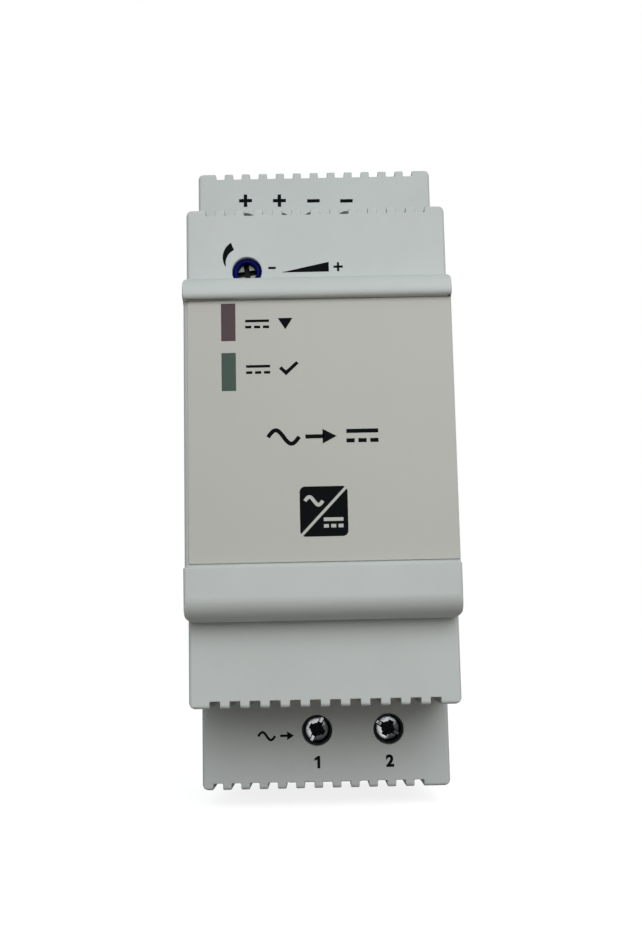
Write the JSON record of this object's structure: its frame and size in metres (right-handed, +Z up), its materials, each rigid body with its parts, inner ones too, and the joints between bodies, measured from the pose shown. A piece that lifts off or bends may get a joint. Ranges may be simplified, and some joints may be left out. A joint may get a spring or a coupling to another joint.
{
  "type": "din rail power supply",
  "caption": "Stepped rail-mounted power supply with a nose cap, light pipes, screw terminals at both ends, a trimmer and a sprung rail latch.",
  "frame": {"origin": "middle of the rail seat, the face that lies against the front of the rail", "axes": "+X to the right seen from the front, +Y from the front to the rail, +Z up the case, output terminals at the top"},
  "size_m": [0.035, 0.0556, 0.0933],
  "materials": {
    "case_plastic": "fine matt moulded texture",
    "marking_ink": "pad printed marks",
    "label_film": "matt printed film",
    "red_lens": "smooth tinted",
    "green_lens": "smooth tinted",
    "spring_steel": "drawn wire",
    "terminal_plastic": "matt moulded",
    "tinned_copper": "bright tin plate",
    "zinc_plated_steel": "bright zinc plate",
    "board_laminate": "solder-masked laminate",
    "insulation_film": "smooth film",
    "black_moulding": "matt moulded",
    "trimmer_blue": "smooth moulded",
    "trimmer_cream": "smooth moulded",
    "red_led_resin": "clear resin",
    "green_led_resin": "clear resin",
    "ferrite": "sintered",
    "winding_tape": "smooth tape",
    "capacitor_sleeve": "shrink sleeve",
    "enamelled_wire": "enamelled",
    "film_capacitor_box": "smooth box",
    "blue_coating": "dipped coating",
    "green_coating": "dipped coating",
    "fuse_ceramic": "unglazed",
    "heatsink_aluminium": "mill finish"
  },
  "bodies": {
    "case": {"base_housing": "case_plastic", "front_housing": "case_plastic", "nose_cap": "case_plastic", "front_label": "label_film", "red_light_pipe": "red_lens", "green_light_pipe": "green_lens", "latch_spring": "spring_steel", "output_terminal_body": "terminal_plastic", "output_contacts": "tinned_copper", "input_terminal_body": "terminal_plastic", "input_contacts": "tinned_copper", "main_board": "board_laminate", "insulation_sheet": "insulation_film", "display_board": "board_laminate", "board_header": "black_moulding", "trimmer_body": "trimmer_blue", "red_led": "red_led_resin", "green_led": "green_led_resin", "transformer_core": "ferrite", "transformer_bobbin": "black_moulding", "transformer_winding": "winding_tape", "bulk_capacitor": "capacitor_sleeve", "output_capacitor": "capacitor_sleeve", "second_output_capacitor": "capacitor_sleeve", "output_inductor": "ferrite", "choke_core": "ferrite", "choke_windings": "enamelled_wire", "x_capacitor": "film_capacitor_box", "y_capacitor": "blue_coating", "fuse": "fuse_ceramic", "varistor": "blue_coating", "inrush_thermistor": "green_coating", "bridge_rectifier": "black_moulding", "mosfet": "black_moulding", "mosfet_heatsink": "heatsink_aluminium", "output_diode": "black_moulding", "diode_heatsink": "heatsink_aluminium", "heatsink_screws": "zinc_plated_steel", "optocoupler": "black_moulding", "controller_chip": "black_moulding", "chip_resistors": "black_moulding"},
    "latch": {"rail_latch": "case_plastic"},
    "trimmer": {"trimmer_rotor": "trimmer_cream"},
    "output_screw_1_body": {"output_screw_1": "zinc_plated_steel"},
    "output_clamp_1_body": {"output_clamp_1": "tinned_copper"},
    "output_screw_2_body": {"output_screw_2": "zinc_plated_steel"},
    "output_clamp_2_body": {"output_clamp_2": "tinned_copper"},
    "output_screw_3_body": {"output_screw_3": "zinc_plated_steel"},
    "output_clamp_3_body": {"output_clamp_3": "tinned_copper"},
    "output_screw_4_body": {"output_screw_4": "zinc_plated_steel"},
    "output_clamp_4_body": {"output_clamp_4": "tinned_copper"},
    "line_screw_body": {"line_screw": "zinc_plated_steel"},
    "line_clamp_body": {"line_clamp": "tinned_copper"},
    "neutral_screw_body": {"neutral_screw": "zinc_plated_steel"},
    "neutral_clamp_body": {"neutral_clamp": "tinned_copper"}
  },
  "joints": [
    {"name": "output_screw_1_turn", "type": "hinge", "parent": "case", "child": "output_screw_1_body", "pos_m": [-0.0104, -0.0243, 0.0373], "axis": [0, 1, 0], "range_deg": [0, 2000]},
    {"name": "output_clamp_1_lift", "type": "slide", "parent": "case", "child": "output_clamp_1_body", "axis": [0, -1, 0], "range_m": [0, 0.0025]},
    {"name": "output_screw_2_turn", "type": "hinge", "parent": "case", "child": "output_screw_2_body", "pos_m": [-0.00532, -0.0243, 0.0373], "axis": [0, 1, 0], "range_deg": [0, 2000]},
    {"name": "output_clamp_2_lift", "type": "slide", "parent": "case", "child": "output_clamp_2_body", "axis": [0, -1, 0], "range_m": [0, 0.0025]},
    {"name": "output_screw_3_turn", "type": "hinge", "parent": "case", "child": "output_screw_3_body", "pos_m": [-0.00024, -0.0243, 0.0373], "axis": [0, 1, 0], "range_deg": [0, 2000]},
    {"name": "output_clamp_3_lift", "type": "slide", "parent": "case", "child": "output_clamp_3_body", "axis": [0, -1, 0], "range_m": [0, 0.0025]},
    {"name": "output_screw_4_turn", "type": "hinge", "parent": "case", "child": "output_screw_4_body", "pos_m": [0.00484, -0.0243, 0.0373], "axis": [0, 1, 0], "range_deg": [0, 2000]},
    {"name": "output_clamp_4_lift", "type": "slide", "parent": "case", "child": "output_clamp_4_body", "axis": [0, -1, 0], "range_m": [0, 0.0025]},
    {"name": "line_screw_turn", "type": "hinge", "parent": "case", "child": "line_screw_body", "pos_m": [-0.0012, -0.0243, -0.0375], "axis": [0, 1, 0], "range_deg": [0, 2000]},
    {"name": "line_clamp_lift", "type": "slide", "parent": "case", "child": "line_clamp_body", "axis": [0, -1, 0], "range_m": [0, 0.0025]},
    {"name": "neutral_screw_turn", "type": "hinge", "parent": "case", "child": "neutral_screw_body", "pos_m": [0.00896, -0.0243, -0.0375], "axis": [0, 1, 0], "range_deg": [0, 2000]},
    {"name": "neutral_clamp_lift", "type": "slide", "parent": "case", "child": "neutral_clamp_body", "axis": [0, -1, 0], "range_m": [0, 0.0025]},
    {"name": "trimmer_turn", "type": "hinge", "parent": "case", "child": "trimmer", "pos_m": [-0.00935, -0.04325, 0.02455], "axis": [0, 1, 0], "range_deg": [-105, 105]},
    {"name": "latch_slide", "type": "slide", "parent": "case", "child": "latch", "axis": [0, 0, -1], "range_m": [0, 0.003], "stiffness_N_per_m": 1500, "springref_m": -0.002, "deforming": ["latch_spring"]}
  ],
  "couplings": [
    {"joint": "output_screw_1_turn", "follows": "output_clamp_1_lift", "rad_per_m": 13963},
    {"joint": "output_screw_2_turn", "follows": "output_clamp_2_lift", "rad_per_m": 13963},
    {"joint": "output_screw_3_turn", "follows": "output_clamp_3_lift", "rad_per_m": 13963},
    {"joint": "output_screw_4_turn", "follows": "output_clamp_4_lift", "rad_per_m": 13963},
    {"joint": "line_screw_turn", "follows": "line_clamp_lift", "rad_per_m": 13963},
    {"joint": "neutral_screw_turn", "follows": "neutral_clamp_lift", "rad_per_m": 13963}
  ]
}
